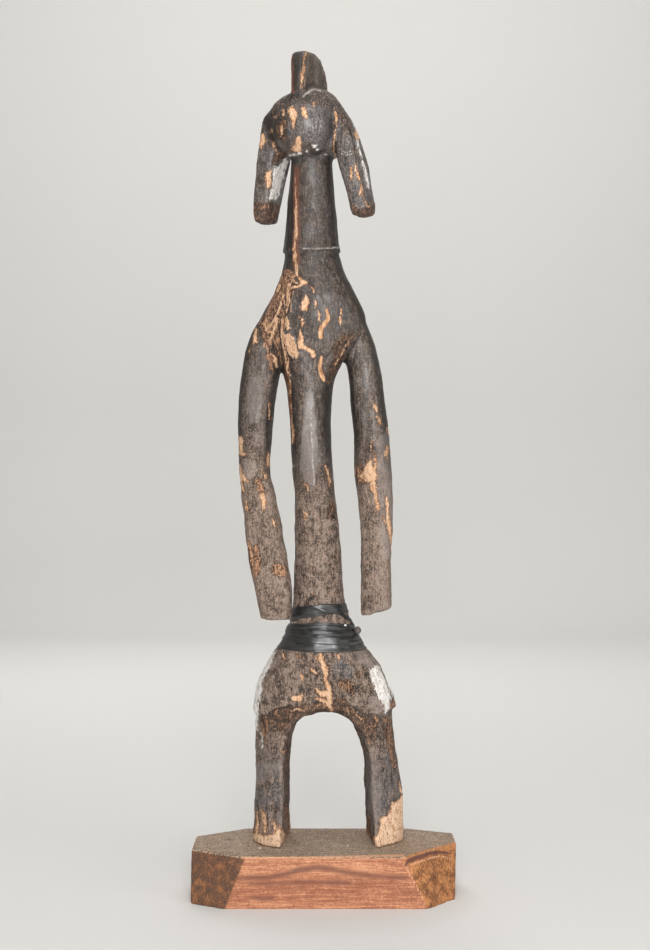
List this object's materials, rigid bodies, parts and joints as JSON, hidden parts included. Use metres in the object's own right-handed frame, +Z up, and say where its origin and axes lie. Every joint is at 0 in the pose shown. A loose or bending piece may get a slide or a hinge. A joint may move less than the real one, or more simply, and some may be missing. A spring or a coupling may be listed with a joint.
{
  "type": "carved figure on a plinth",
  "caption": "Slender standing wooden figure with a crested, long-eared head, loose-hanging arms, an arch between the legs and a rubber-bound waist, on a sawn plank plinth.",
  "frame": {"origin": "centre of the plinth's footprint, on the surface it stands on", "axes": "+Z up; the figure's front faces -Y, and +X is the viewer's right seen from the front"},
  "size_m": [0.292, 0.141, 0.9325],
  "materials": {
    "figure_wood": "dark smoked and handled wood, worn through to pale wood in places, with white earth pigment on the ears and hips",
    "rubber_strip": "semi-gloss black rubber cut from an inner tube",
    "plinth_wood": "rough-sawn reddish timber, darker and greyer on its weathered top"
  },
  "bodies": {
    "root": {"figure": "figure_wood", "waist_binding": "rubber_strip", "plinth": "plinth_wood"}
  },
  "joints": []
}
